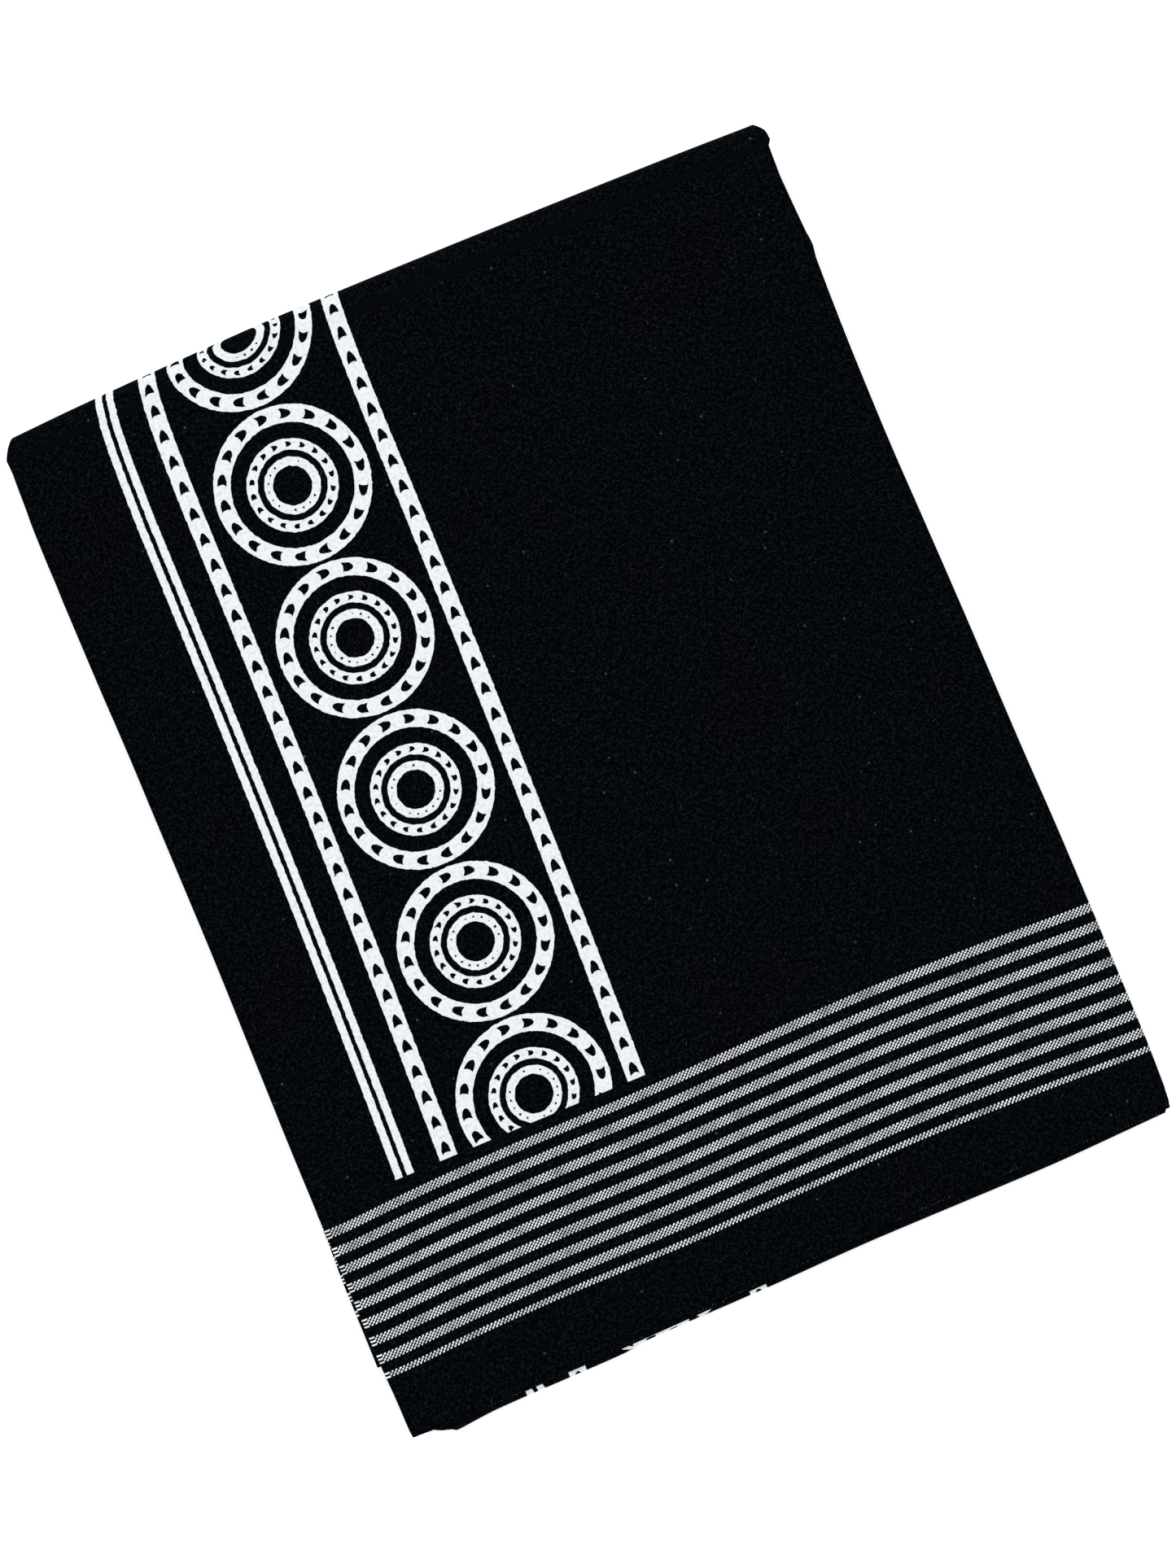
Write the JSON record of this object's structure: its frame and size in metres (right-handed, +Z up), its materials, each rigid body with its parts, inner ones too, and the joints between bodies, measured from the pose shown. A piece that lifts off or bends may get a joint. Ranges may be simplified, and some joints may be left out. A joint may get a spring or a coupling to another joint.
{
  "type": "mundu",
  "caption": "Black cotton mundu folded into a flat rectangular pack, with a woven dotted stripe border and a printed band of rings, lying on its back",
  "frame": {"origin": "under the middle of the folded pack, on the surface that it lies on", "axes": "+Z up through the pack's thickness, +Y along its long side towards the top fold, +X along its short side towards the open edges"},
  "size_m": [0.2474, 0.325, 0.013],
  "materials": {
    "black_cotton": "matte black plain-weave cotton with white woven border stripes and a white print"
  },
  "bodies": {
    "root": {"outer_stretch": "black_cotton", "second_stretch": "black_cotton", "hidden_layers": "black_cotton"}
  },
  "joints": []
}
